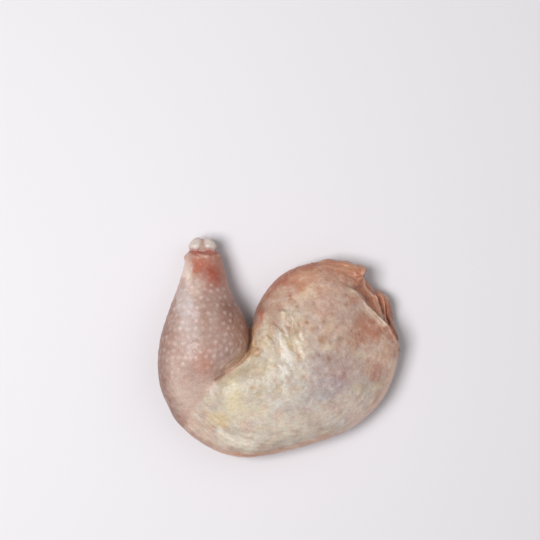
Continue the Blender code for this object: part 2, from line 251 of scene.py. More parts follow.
def pressed(points, wrinkles, lumps):
    """How far the wrinkles and lumps raise each point, in millimetres."""
    relief = np.zeros(len(points))
    for path, width, height in wrinkles:
        middle = np.mean(path, axis=0)
        reach = np.abs(np.array(path) - middle).max() + 4 * width
        close = np.flatnonzero(np.abs(points[:, :2] - middle).max(axis=1) < reach)
        gap, along = near_path(points[close], path)
        crest = np.exp(-((np.abs(gap) / width) ** 1.4))
        relief[close] += height * crest * np.sin(math.pi * np.clip(along, 0.04, 0.96)) ** 0.5
    for x, y, radius, height in lumps:
        relief += height * bell(np.hypot(points[:, 0] - x, points[:, 1] - y), radius)
    return relief


def crease_profile(points):
    """The thigh's fat stands over the drumstick's skin at the crease, with a narrow gap between them."""
    gap, along = near_path(points, CREASE)
    fade = 1 - along**2
    edge = CREASE_HEIGHT * np.exp(-np.maximum(gap, 0) / 2.6) * smooth_step(-0.2, 0.9, gap)
    return (edge - CREASE_HEIGHT * bell(gap + 0.5, 0.7)) * fade


# Where the thigh's yellow fat shows through and the drumstick's thinner, pinker skin begins
FAT_EDGE = (
    (-15.6, 18.0), (-16.2, 4.0), (-18.2, -4.0), (-25.2, -11.4), (-36.8, -21.2), (-42.5, -27.7),
    (-49.0, -34.0), (-54.0, -42.0), (-57.0, -52.0),
)
FAT_COLOUR = "#beb5a5"
THIGH_COLOUR = "#b2a397"
DRUMSTICK_COLOUR = "#a9887c"
# Steep sides: partly the rolled skin's own orange, partly a painted glow of light through the thin skin
STEEP_SKIN_AND_GLOW_COLOUR = "#c27c58"

# Stains in the skin, with painted light and shade among them: x, y, half width, half length, turn in
# degrees, colour, strength
SKIN_STAINS_AND_PAINTED_LIGHT = (
    (12.0, 37.0, 28.0, 12.0, 8.0, "#c08b71", 0.6),
    (38.0, 14.0, 26.0, 20.0, 0.0, "#c08d78", 0.35),
    (22.0, -9.0, 10.0, 8.0, 0.0, "#a49799", 0.4),
    (17.0, -9.6, 5.4, 5.0, 0.0, "#b9b1a8", 0.4),
    (17.0, 22.6, 5.4, 4.6, 0.0, "#cbb8a5", 0.5),
    (8.0, 23.6, 4.0, 3.0, 0.0, "#dacbb8", 0.45),
    (36.0, 11.0, 5.6, 8.0, 0.0, "#c7b2a1", 0.5),
    (52.0, -11.0, 9.0, 5.0, 0.0, "#bf8d78", 0.35),
    # Painted light: the drumstick's left side, facing the light, paler
    (-54.0, 18.0, 6.4, 25.0, -12.0, "#cbbfbc", 0.65),
    (-60.0, -16.0, 7.0, 14.0, 0.0, "#c9b2a8", 0.6),
    # Painted shade: the drumstick's right side and its edge by the thigh, darker where they turn from the
    # light
    (-23.0, 11.0, 6.0, 13.0, 18.0, "#966c5b", 0.6),
    (-27.6, 24.5, 5.0, 14.0, 20.0, "#7c4a38", 0.8),
    (-48.0, 3.0, 6.0, 8.0, 0.0, "#9a7a70", 0.35),
    (-43.0, -16.0, 8.0, 6.0, -35.0, "#cbada2", 0.6),
    (-50.0, -24.0, 6.0, 6.0, 0.0, "#cfb4a8", 0.5),
    (-39.0, 14.0, 8.0, 16.0, 0.0, "#a18277", 0.4),
    (-37.0, 25.0, 6.0, 7.0, 0.0, "#94736a", 0.4),
    (-21.0, -1.6, 3.0, 3.6, -30.0, "#b9988a", 0.5),
    (-46.0, -2.0, 7.0, 9.0, 0.0, "#a6877b", 0.5),
    (-42.5, -8.6, 6.0, 7.0, 0.0, "#b37a68", 0.6),
    (-32.0, -2.0, 7.0, 9.0, 0.0, "#a18480", 0.5),
    (-52.4, 42.0, 4.0, 9.0, -8.0, "#e4d3c8", 0.85),
    # Painted highlight on the drumstick's left side
    (-51.4, 23.6, 3.2, 6.4, -20.0, "#d8d0d4", 0.4),
    (-47.0, 47.0, 4.0, 4.6, 0.0, "#ae5d45", 0.8),
    (-37.4, 42.6, 6.2, 7.6, 30.0, "#9c3f2b", 0.9),
    (-43.0, 47.5, 4.6, 3.4, 0.0, "#a34a34", 0.7),
    (-43.5, 51.5, 9.0, 3.4, 0.0, "#ad6249", 0.6),
    (-56.0, -29.0, 10.0, 10.0, 0.0, "#d3bbae", 0.65),
    (-14.0, -25.0, 30.0, 7.0, 0.0, "#9e9283", 0.6),
    (-22.8, -31.6, 14.0, 9.0, 20.0, "#c2b497", 0.45),
    (-35.4, -25.4, 7.0, 5.0, -35.0, "#937f5e", 0.6),
    (-12.0, -17.0, 8.0, 7.0, 0.0, "#9f8f77", 0.45),
    (-25.6, -26.0, 4.2, 7.0, 20.0, "#bbaa76", 0.5),
    (-24.0, -35.0, 4.6, 5.0, 0.0, "#cbbd94", 0.45),
    (-10.0, -42.0, 20.0, 4.6, 8.0, "#d7cbc0", 0.4),
    (9.0, -42.0, 5.0, 4.0, 0.0, "#dbd0c6", 0.4),
    (-1.0, -9.0, 4.0, 4.0, 0.0, "#a4967f", 0.35),
    (-35.5, -40.5, 6.0, 4.0, 0.0, "#ccb587", 0.6),
    (-33.0, -43.9, 2.6, 2.0, 0.0, "#c79768", 0.6),
    # Painted highlight: a pale cream patch low on the thigh
    (-20.0, -54.0, 16.0, 4.5, -4.0, "#dccfbe", 0.6),
    (-17.0, -9.0, 7.0, 7.0, 0.0, "#d2bf9b", 0.35),
    (-27.5, -10.4, 5.0, 3.6, -30.0, "#cbab9b", 0.65),
    (-30.0, -8.6, 4.6, 3.0, -35.0, "#c0a298", 0.5),
    (-47.5, 33.0, 5.0, 8.0, 0.0, "#cdb5aa", 0.5),
    (-52.0, -45.0, 8.0, 8.0, 40.0, "#d2ae9d", 0.6),
    (-41.0, -53.0, 8.0, 5.0, 30.0, "#d3b5a0", 0.6),
    (-12.8, -0.2, 3.4, 2.0, -20.0, "#b57b46", 0.65),
    (-13.2, -2.0, 1.6, 1.2, 0.0, "#cf9f6e", 0.5),
    (-27.0, -16.0, 6.0, 3.4, -30.0, "#d8caa6", 0.55),
    (2.2, -12.2, 3.8, 2.6, 0.0, "#d5d6d8", 0.6),
    (-2.0, -31.5, 5.4, 4.2, 0.0, "#d2d2cf", 0.45),
    (62.0, -2.4, 4.0, 6.0, 0.0, "#d8b7a0", 0.4),
    (-7.6, 3.0, 3.4, 3.2, 0.0, "#e0cda4", 0.5),
    (0.0, -2.0, 9.0, 15.0, 34.0, "#cfc4b0", 0.35),
    (0.5, 4.0, 2.4, 8.0, -28.0, "#cfc9bc", 0.35),
    (6.0, -9.0, 4.0, 7.0, -30.0, "#bfbbb9", 0.5),
    (9.5, 20.6, 3.6, 3.2, 0.0, "#d2c5b2", 0.35),
    (1.4, 23.0, 3.4, 1.8, 0.0, "#a77a6b", 0.55),
    (6.0, 14.0, 5.0, 6.0, 0.0, "#b89f83", 0.35),
    (-6.5, 27.4, 5.5, 12.0, -25.0, "#ad8069", 0.65),
    (-12.4, 24.0, 3.0, 6.0, -20.0, "#7f5442", 0.75),
    (-12.0, 12.8, 3.0, 4.6, 0.0, "#b46444", 0.55),
    # Painted shade on the thigh's left rim by the notch
    (-14.4, 21.0, 1.6, 8.0, 14.0, "#8f726c", 0.6),
    (-11.4, 19.2, 1.7, 3.5, -12.0, "#b35a3c", 0.75),
    (12.5, 37.5, 4.0, 5.0, 0.0, "#b0623f", 0.65),
    (6.5, 29.4, 2.4, 1.5, 20.0, "#a65a3c", 0.8),
    (16.5, 33.0, 4.0, 3.0, 0.0, "#e0cfb2", 0.6),
    (10.0, 26.0, 2.2, 1.4, 0.0, "#a9805f", 0.5),
    (12.8, 29.4, 3.0, 3.4, 0.0, "#dccbb0", 0.5),
    (12.0, 38.5, 9.0, 3.0, 25.0, "#bb7f62", 0.6),
    (24.0, 26.0, 13.0, 9.0, 0.0, "#b38f80", 0.55),
    (49.4, 12.6, 8.4, 7.0, 10.0, "#a66649", 0.7),
    (57.0, 10.0, 7.8, 7.4, -30.0, "#ac654a", 0.7),
    (65.6, 5.0, 3.4, 8.0, 14.0, "#a3583f", 0.7),
    (67.0, -6.0, 3.6, 9.0, 0.0, "#b97862", 0.5),
    (45.0, 6.0, 6.0, 4.0, 0.0, "#ab735d", 0.6),
    (44.6, 29.4, 5.4, 4.0, -40.0, "#b37a5d", 0.6),
    (58.0, -4.6, 8.0, 5.4, 0.0, "#d6b199", 0.55),
    (56.6, -13.2, 4.6, 5.6, -20.0, "#ad7566", 0.55),
    (35.0, -10.0, 13.0, 9.0, -30.0, "#ad918d", 0.5),
    (45.0, 0.0, 5.0, 5.0, 0.0, "#b09280", 0.4),
    (7.6, -1.0, 4.0, 5.0, 0.0, "#a6937a", 0.4),
    (26.5, -20.0, 15.0, 7.5, -12.0, "#a6979a", 0.5),
    (25.0, -26.6, 14.0, 3.6, -21.0, "#94909a", 0.5),
    (33.0, -20.0, 5.0, 5.0, 0.0, "#98858f", 0.45),
    (42.0, -35.0, 15.0, 9.0, 40.0, "#d5c1b8", 0.6),
    (10.0, -47.0, 20.0, 6.0, 15.0, "#cfbfae", 0.5),
    (30.0, -41.0, 15.0, 6.0, 28.0, "#d3c5bb", 0.6),
    (8.0, -28.0, 10.0, 10.0, 0.0, "#cfc7bf", 0.3),
)

# Bands of stain along a path, with painted light and shade among them: path, half width, colour, strength
SKIN_BANDS_AND_PAINTED_LIGHT = (
    (((-12.0, 27.0), (-6.0, 36.5), (4.0, 43.0), (16.0, 46.6), (30.0, 47.6), (44.0, 44.6)),
     6.0, "#9f4f2b", 0.92),
    (((4.0, 39.0), (14.0, 43.0), (24.0, 45.4)), 1.6, "#cfa283", 0.5),
    (((9.0, 37.0), (17.0, 40.6), (26.0, 41.8)), 2.2, "#cba489", 0.45),
    (((22.0, 50.0), (30.0, 46.0), (38.0, 41.0), (44.0, 35.6)), 6.0, "#b4826a", 0.75),
    (((-40.0, -60.6), (-26.0, -63.2), (-8.0, -63.4), (16.0, -57.5), (38.0, -49.5)), 2.6, "#d99a6f", 0.85),
    # Painted light: the thigh's lower right rim paler where the lamps do not reach it
    (((38.0, -49.5), (54.0, -38.0), (64.0, -23.0), (69.5, -4.0)), 4.8, "#e6c1ab", 0.85),
    (((-38.0, -60.6), (-48.0, -56.0), (-56.0, -48.0), (-61.0, -41.0)), 3.2, "#a06c58", 0.8),
    # Painted shade: the drumstick's left and lower rim darker
    (((-52.0, -53.0), (-60.0, -43.4), (-66.6, -30.0), (-69.6, -14.0), (-69.4, 4.0), (-66.4, 22.0),
      (-60.0, 42.0)), 6.0, "#7d5547", 0.85),
    # Painted highlight along the crest of the skin's cut lip
    (((50.8, 24.4), (55.0, 20.4), (59.0, 16.6), (63.0, 12.6)), 1.0, "#f6e2cd", 0.95),
    (((49.6, 23.4), (53.6, 19.2), (58.0, 14.6), (61.4, 11.4)), 1.5, "#dcc3a8", 0.6),
    # Painted shade: a thin dark line at the lip's foot
    (((50.4, 23.4), (54.0, 20.4), (57.6, 16.6), (61.0, 13.0)), 0.6, "#96705a", 0.6),
    (((70.6, 3.0), (70.4, -4.0), (69.0, -12.0), (65.8, -22.0), (61.6, -30.0)), 0.9, "#8f5a46", 0.45),
    (((-28.0, -61.4), (-14.0, -63.0), (-2.0, -61.4)), 0.9, "#a04f33", 0.6),
    # Painted highlight: a cream streak low on the thigh
    (((-37.0, -45.6), (-31.0, -50.6), (-24.0, -54.6), (-12.0, -57.6)), 2.8, "#e9e0ce", 0.65),
    (((-26.0, -47.6), (-10.0, -50.6), (8.0, -50.4)), 1.6, "#dcd0c0", 0.4),
    # Painted shade: the dark gap of the crease
    (((-17.0, 15.0), (-16.6, 8.0), (-17.2, 2.0), (-18.4, -3.6)), 0.9, "#54341f", 0.9),
    # Partly the fat's own pale and ochre streaks, partly painted highlight on two ridges beside the crease
    # and painted shade in the groove between them
    (((-3.6, 8.3), (2.8, 1.0), (10.3, -7.7)), 1.8, "#dbd8cf", 0.5),
    (((2.6, 4.0), (7.0, -0.4), (12.8, -5.1)), 1.1, "#a8946f", 0.5),
    (((6.3, 6.0), (12.0, 3.4), (18.0, 1.3)), 1.5, "#d8ccbb", 0.4),
    (((-14.2, 16.0), (-14.2, 8.0), (-14.8, 2.0), (-16.2, -2.0), (-20.4, -6.4), (-27.0, -10.4)),
     1.5, "#bf9560", 0.5),
    # Painted shade along the crease's lower end and in a short wrinkle below it
    (((-17.6, -2.0), (-21.6, -7.6), (-28.0, -12.0), (-33.0, -15.0)), 0.8, "#a37c5d", 0.45),
    (((-37.8, -18.6), (-34.6, -16.6), (-30.6, -13.6)), 0.7, "#6f525c", 0.8),
)

# The circle that the thigh's lower rim follows, with fine streaks along it: middle and radius
RIM_CIRCLE = (0.0, 5.0, 68.0)

# Feather follicles: spacing, radius, height and the least share of that height, in millimetres
FOLLICLE_BUMPS = (3.7, 2.1, 0.38, 0.3)
FOLLICLE_PITS = (6.0, 1.7, -0.4, 0.3)
FINE_FOLLICLES = (3.4, 1.1, -0.12, 0.0)
FOLLICLE_SEED = 3

# The largest brown follicles on the thigh: x, y, radius, colour, and how deep they all are
LARGE_FOLLICLE_DEPTH = 0.14
LARGE_FOLLICLES = (
    (10.2, 24.8, 1.5, "#9c6e4e"),
    (15.8, 15.4, 1.5, "#96704f"),
    (25.0, 15.4, 1.4, "#9a7050"),
    (18.9, 11.1, 1.7, "#a2764f"),
    (10.9, 8.9, 1.8, "#a87f5a"),
    (24.5, 5.2, 2.1, "#a27149"),
    (33.4, 5.3, 1.4, "#8d7468"),
    (16.0, 0.9, 1.6, "#8f7565"),
    (7.0, 1.0, 1.8, "#ab855c"),
    (12.0, -4.4, 1.8, "#a8825c"),
    (22.4, -3.8, 1.8, "#876a64"),
    (28.0, -6.2, 2.6, "#8b6a62"),
    (19.6, 25.6, 1.5, "#a07a68"),
    (29.4, 25.2, 1.5, "#a07b6c"),
    (30.2, 19.8, 1.4, "#9d7666"),
    (38.0, 30.2, 1.4, "#a2796a"),
    (-0.3, -22.6, 1.8, "#b3916a"),
    (9.1, -22.6, 1.6, "#b19272"),
    (14.2, -15.7, 1.5, "#b0937c"),
    (-10.8, -26.6, 1.6, "#ae8f66"),
    (-14.8, -22.6, 1.5, "#b18f67"),
    (36.7, -16.1, 2.0, "#a87c74"),
)


def hex_linear(code):
    """An sRGB hex colour as linear RGBA."""
    parts = [int(code[k:k + 2], 16) / 255 for k in (1, 3, 5)]
    return (*[c / 12.92 if c <= 0.04045 else ((c + 0.055) / 1.055) ** 2.4 for c in parts], 1.0)


def tinted_towards(colours, mask, code):
    """The colours moved towards `code` as far as the mask says."""
    return colours + mask[:, None] * (np.array(hex_linear(code)[:3]) - colours)


def plain_share(points):
    """Where the fat by the knee lies tight under the skin, so that it is plainer and smoother."""
    return oval(points, -30.0, -30.0, 26.0, 16.0)


def skin_colours(points, normals, relief):
    """The skin's colour at each point: fat, thin skin, stains, bands and mottling, with painted light and
    shade.
    """
    wander = np.column_stack([noise_at(points, 7.0, 1), noise_at(points, 7.0, 2)])
    ragged = np.column_stack([noise_at(points, 2.4, 3), noise_at(points, 2.4, 4)])
    places = points[:, :2] + 3.6 * wander + 1.5 * ragged

    colours = np.tile(hex_linear(THIGH_COLOUR)[:3], (len(points), 1))
    colours = tinted_towards(colours, oval(places, -14.0, -24.0, 32.0, 32.0), FAT_COLOUR)
    gap, _ = near_path(points[:, :2] + 0.8 * ragged, FAT_EDGE)
    drumstick = smooth_step(1.6, -1.6, gap)
    # Steep sides turn orange: partly the skin's own colour, partly a painted glow of light shining through
    # it at the rims
    steep_glow_mask = smooth_step(0.8, 0.25, normals[:, 2]) * smooth_step(0.0, 4.0, points[:, 2])
    steep_glow_mask *= smooth_step(30.0, 20.0, points[:, 2])
    colours = tinted_towards(colours, drumstick, DRUMSTICK_COLOUR)
    colours = tinted_towards(colours, (0.62 + 0.25 * noise_at(points, 5.0, 44)) * steep_glow_mask, STEEP_SKIN_AND_GLOW_COLOUR)

    # Broad blotches: yellow fat on the thigh only, and pink and lilac, fainter on the drumstick
    yellow = 0.34 * smooth_step(0.0, 0.5, noise_at(points, 7.0, 41)) * (1 - drumstick)
    colours = tinted_towards(colours, yellow, "#d5c29a")
    calm = 1 - 0.6 * drumstick
    colours = tinted_towards(colours, 0.34 * calm * smooth_step(0.0, 0.5, noise_at(points, 6.0, 42)), "#bf8a76")
    colours = tinted_towards(colours, 0.32 * calm * smooth_step(0.05, 0.5, noise_at(points, 5.0, 43)), "#9d8f98")

    for x, y, wide, long, turn, code, strength in SKIN_STAINS_AND_PAINTED_LIGHT:
        turn = math.radians(turn)
        across = (places[:, 0] - x) * math.cos(turn) - (places[:, 1] - y) * math.sin(turn)
        ahead = (places[:, 0] - x) * math.sin(turn) + (places[:, 1] - y) * math.cos(turn)
        reach = np.hypot(across / wide, ahead / long)
        colours = tinted_towards(colours, strength * np.exp(-(reach**2.4)), code)
    for path, width, code, strength in SKIN_BANDS_AND_PAINTED_LIGHT:
        gap, along = near_path(points[:, :2] + 0.35 * width * (wander + ragged), path)
        ends = smooth_step(0.0, 0.15, along) * smooth_step(1.0, 0.85, along)
        colours = tinted_towards(colours, strength * bell(gap, width) * ends, code)
    for x, y, radius, code in LARGE_FOLLICLES:
        away = np.hypot(points[:, 0] - x + 0.9 * ragged[:, 0], points[:, 1] - y + 0.9 * ragged[:, 1])
        colours = tinted_towards(colours, 0.3 * bell(away, 1.5 * radius), code)
        colours = tinted_towards(colours, 0.6 * bell(away, 0.65 * radius), code)

    # Painted shade in the wrinkles' grooves and painted highlight on their crests
    colours = tinted_towards(colours, 0.58 * smooth_step(0.05, -0.8, relief), "#966c44")
    colours = tinted_towards(colours, 0.32 * smooth_step(0.15, 0.9, relief), "#e6d3ba")

    # Streaks in the fat beside the crease, about three times as long as they are wide, and small blotches
    drawn_out = np.column_stack([
        points[:, 0] * 0.84 + points[:, 1] * 0.54,
        0.35 * (points[:, 1] * 0.84 - points[:, 0] * 0.54),
        points[:, 2],
    ])
    streaks = noise_at(drawn_out, 2.3, 10) * oval(points, 3.0, -1.0, 20.0, 20.0)
    blotches = 0.9 * noise_at(points, 4.6, 5) + 0.6 * noise_at(points, 2.3, 6)
    blotches += 0.35 * noise_at(points, 1.2, 7)
    blotches *= 1 - 0.6 * plain_share(points)
    colours = tinted_towards(colours, 0.3 * smooth_step(0.1, -0.8, 1.4 * streaks), "#9c7d4e")
    colours = tinted_towards(colours, 0.26 * smooth_step(-0.1, 0.8, 1.4 * streaks), "#ece4d2")
    colours = tinted_towards(colours, 0.28 * calm * smooth_step(0.1, -1.1, blotches), "#94674f")
    colours = tinted_towards(colours, 0.26 * calm * smooth_step(-0.1, 1.1, blotches), "#ecdfcf")

    # Fine streaks along the thigh's rim
    about_x, about_y, radius = RIM_CIRCLE
    from_middle = np.hypot(points[:, 0] - about_x, points[:, 1] - about_y)
    turned = np.arctan2(points[:, 1] - about_y, points[:, 0] - about_x) * radius
    grain = noise_at(np.column_stack([from_middle, 0.16 * turned, 0.5 * points[:, 2]]), 1.5, 47)
    near_rim = smooth_step(0.64 * radius, 0.9 * radius, from_middle) * smooth_step(4.0, -12.0, points[:, 1])
    near_rim *= 1 - drumstick
    colours = tinted_towards(colours, 0.16 * near_rim * smooth_step(0.0, 0.5, grain), "#ebe0d2")
    colours = tinted_towards(colours, 0.16 * near_rim * smooth_step(0.0, -0.5, grain), "#a07660")
    hue = 1 + 0.06 * noise_at(points, 3.4, 8)[:, None] * np.array((0.2, -0.4, -0.5))
    return np.clip(colours * hue, 0.0, 1.0), drumstick


def give_share(mesh, name, values):
    """Stores a share from 0 to 1 for each point."""
    made = mesh.attributes.new(name, "FLOAT", "POINT")
    made.data.foreach_set("value", np.ascontiguousarray(values, np.float32))


def give_tint(mesh, colours):
    """Stores the colours that the piece's material shows."""
    made = mesh.attributes.new("tint", "FLOAT_COLOR", "POINT")
    opaque = np.column_stack([np.clip(colours, 0, 1), np.ones(len(colours))])
    made.data.foreach_set("color", opaque.astype(np.float32).ravel())


leg_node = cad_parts["leg_quarter"]
skin = remeshed(leg_node, "chicken_skin", SKIN_GRID)
thinned_below(skin, SKIN_FACES_KEPT)
skin_points = settled(skin.data, points_of(skin.data) / MM, SKIN_SETTLE_STEPS)
set_points(skin.data, skin_points)
skin_normals = points_of(skin.data, "normal")
skin_upward = smooth_step(0.1, 0.6, skin_normals[:, 2])
skin_folds = pressed(skin_points, WRINKLES, FAT_LUMPS) * skin_upward
drawn_out = np.column_stack([
    0.35 * (skin_points[:, 0] * 0.5 - skin_points[:, 1] * 0.87),
    skin_points[:, 0] * 0.87 + skin_points[:, 1] * 0.5,
    0.3 * skin_points[:, 2],
])
drawn_out[:, 1] += 0.8 * noise_at(skin_points, 6.0, 45)
skin_folds += CRINKLE_HEIGHT * oval(skin_points, *CRINKLED) * noise_at(drawn_out, 1.7, 46)
for x, y, radius, _ in LARGE_FOLLICLES:
    skin_folds -= LARGE_FOLLICLE_DEPTH * oval(skin_points, x, y, 0.9 * radius, 0.9 * radius)

# Beyond the cut edges the skin draws back under the hip meat and the hock joint
hip_gap, hip_along = near_path(skin_points, HIP_CUT)
hip_crisp = smooth_step(0.15, 0.32, hip_along)
hip_lip = (0.2 + 1.2 * hip_crisp) * bell(hip_gap + 0.8, 0.75) * smooth_step(0.12, 0.25, hip_along)
hip_lip *= skin_upward
hip_drawn = smooth_step(-0.3 - 0.7 * (1 - hip_crisp), 0.5 + 6.5 * (1 - hip_crisp), hip_gap)
hip_drawn *= SKIN_UNDER_HIP
hock_gap = skin_points[:, 1] - HOCK_CUT - 1.8 * noise_at(skin_points, 6.0, 11)
hock_gap -= 0.6 * noise_at(skin_points, 1.8, 12)
hock_gap = np.where(skin_points[:, 0] < RIGHT_OF_HOCK, hock_gap, -20.0)
hock_lip = (0.7 + 0.5 * noise_at(skin_points, 2.6, 16)) * bell(hock_gap + 0.9, 0.9)
hock_drawn = SKIN_UNDER_HOCK * smooth_step(-0.2, 0.8, hock_gap)
rough = 0.16 * noise_at(skin_points, 2.8, 13) + 0.12 * noise_at(skin_points, 1.4, 14)
rough *= 1 - 0.75 * plain_share(skin_points)
skin_points[:, 2] += skin_folds + hip_lip + crease_profile(skin_points) * skin_upward
skin_points += (hock_lip + rough - np.maximum(hip_drawn, hock_drawn))[:, None] * skin_normals
skin_points = settled(skin.data, skin_points, 1, 0.35)
skin_points[:, 2] = np.maximum(skin_points[:, 2], 0.0)
set_points(skin.data, skin_points)
skin_normals = points_of(skin.data, "normal")
set_points(skin.data, skin_points * MM)
skin.data.shade_smooth()

tints, drumstick_mask = skin_colours(skin_points, skin_normals, skin_folds)
give_tint(skin.data, tints)
bare = smooth_step(42.0, 34.0, skin_points[:, 1]) * smooth_step(0.05, 0.6, skin_normals[:, 2])
smoother = 0.45 + 0.55 * smooth_step(-24.0, 0.0, skin_points[:, 1] + 6.0 * noise_at(skin_points, 12.0, 15))
give_share(skin.data, "bump_share", drumstick_mask * bare * smoother)
give_share(skin.data, "plain", plain_share(skin_points))
pitted = oval(skin_points, 30.0, 6.0, 30.0, 26.0) + 0.4 * oval(skin_points, 6.0, -32.0, 30.0, 18.0)
give_share(skin.data, "pit_share", np.clip(pitted, 0, 1) * (1 - drumstick_mask) * bare)


def add_node(tree, kind, settings=None, links=None):
    """Adds a node. Settings name its properties, or its inputs by name, identifier or number."""

    def socket(key):
        if isinstance(key, int):
            return made.inputs[key]
        return next((s for s in made.inputs if key in (s.identifier, s.name)), None)

    made = tree.nodes.new(kind)
    settings = settings or {}
    own = {key: value for key, value in settings.items() if isinstance(key, str) and hasattr(made, key)}
    for key, value in own.items():
        setattr(made, key, value)
    for key, value in settings.items():
        if key not in own:
            socket(key).default_value = value
    for key, source in (links or {}).items():
        tree.links.new(source, socket(key))
    return made


def follicle_tree(name, material):
    """A tree that raises or sinks a follicle round each of many evenly scattered points of a surface."""
    tree = bpy.data.node_groups.new(name, "GeometryNodeTree")
    interface = tree.interface
    interface.new_socket("Skin", in_out="INPUT", socket_type="NodeSocketGeometry")
    for label in ("Spacing", "Radius", "Height", "Least"):
        interface.new_socket(label, in_out="INPUT", socket_type="NodeSocketFloat")
    interface.new_socket("Seed", in_out="INPUT", socket_type="NodeSocketInt")
    interface.new_socket("Share", in_out="INPUT", socket_type="NodeSocketString")
    interface.new_socket("Mark", in_out="INPUT", socket_type="NodeSocketString")
    interface.new_socket("Skin", in_out="OUTPUT", socket_type="NodeSocketGeometry")
    given = add_node(tree, "NodeGroupInput").outputs
    share = add_node(
        tree, "GeometryNodeInputNamedAttribute", {"data_type": "FLOAT"}, {"Name": given["Share"]},
    ).outputs["Attribute"]
    scatter = add_node(
        tree, "GeometryNodeDistributePointsOnFaces", {"distribute_method": "POISSON", "Density Max": 1e6},
        {"Mesh": given["Skin"], "Distance Min": given["Spacing"], "Density Factor": share,
         "Seed": given["Seed"]},
    )
    place = add_node(tree, "GeometryNodeInputPosition")
    near = add_node(
        tree, "GeometryNodeProximity", {"target_element": "POINTS"},
        {0: scatter.outputs["Points"], "Source Position": place.outputs["Position"]},
    )
    nearest = add_node(
        tree, "GeometryNodeSampleNearest", {"domain": "POINT"},
        {0: scatter.outputs["Points"], "Sample Position": place.outputs["Position"]},
    )
    chance = add_node(
        tree, "FunctionNodeRandomValue", {"data_type": "FLOAT", "Max_001": 1.0},
        {"Min_001": given["Least"], "Seed": given["Seed"]},
    )
    own_share = add_node(
        tree, "GeometryNodeSampleIndex", {"data_type": "FLOAT", "domain": "POINT"},
        {"Geometry": scatter.outputs["Points"], "Value": chance.outputs[1],
         "Index": nearest.outputs["Index"]},
    ).outputs["Value"]
    mound = add_node(
        tree, "ShaderNodeMapRange",
        {"interpolation_type": "SMOOTHERSTEP", "From Min": 0.0, "To Min": 1.0, "To Max": 0.0},
        {"Value": near.outputs["Distance"], "From Max": given["Radius"]},
    )
    multiply = {"operation": "MULTIPLY"}
    local = add_node(tree, "ShaderNodeMath", multiply, {0: share, 1: own_share})
    soft = add_node(tree, "ShaderNodeMath", multiply, {0: mound.outputs["Result"], 1: local.outputs[0]})
    height = add_node(tree, "ShaderNodeMath", multiply, {0: soft.outputs[0], 1: given["Height"]})
    normal = add_node(tree, "GeometryNodeInputNormal")
    lift = add_node(
        tree, "ShaderNodeVectorMath", {"operation": "SCALE"},
        {"Vector": normal.outputs["Normal"], "Scale": height.outputs[0]},
    )
    marked = add_node(
        tree, "GeometryNodeStoreNamedAttribute", {"data_type": "FLOAT", "domain": "POINT"},
        {"Geometry": given["Skin"], "Name": given["Mark"], "Value": soft.outputs[0]},
    )
    raised = add_node(
        tree, "GeometryNodeSetPosition", {},
        {"Geometry": marked.outputs["Geometry"], "Offset": lift.outputs["Vector"]},
    )
    real = add_node(tree, "GeometryNodeRealizeInstances", {}, {"Geometry": raised.outputs["Geometry"]})
    dressed = add_node(
        tree, "GeometryNodeSetMaterial", {"Material": material}, {"Geometry": real.outputs["Geometry"]},
    )
    add_node(tree, "NodeGroupOutput", {}, {"Skin": dressed.outputs["Geometry"]})
    return tree


def run_tree(piece, tree, settings):
    """Gives the piece the tree's result as its plain mesh."""
    step = piece.modifiers.new(tree.name, "NODES")
    step.node_group = tree
    for item in tree.interface.items_tree:
        if item.in_out == "INPUT" and item.name in settings:
            step[item.identifier] = settings[item.name]
    bpy.context.view_layer.update()
    made = bpy.data.meshes.new_from_object(piece.evaluated_get(bpy.context.evaluated_depsgraph_get()))
    piece.modifiers.remove(step)
    piece.data = made


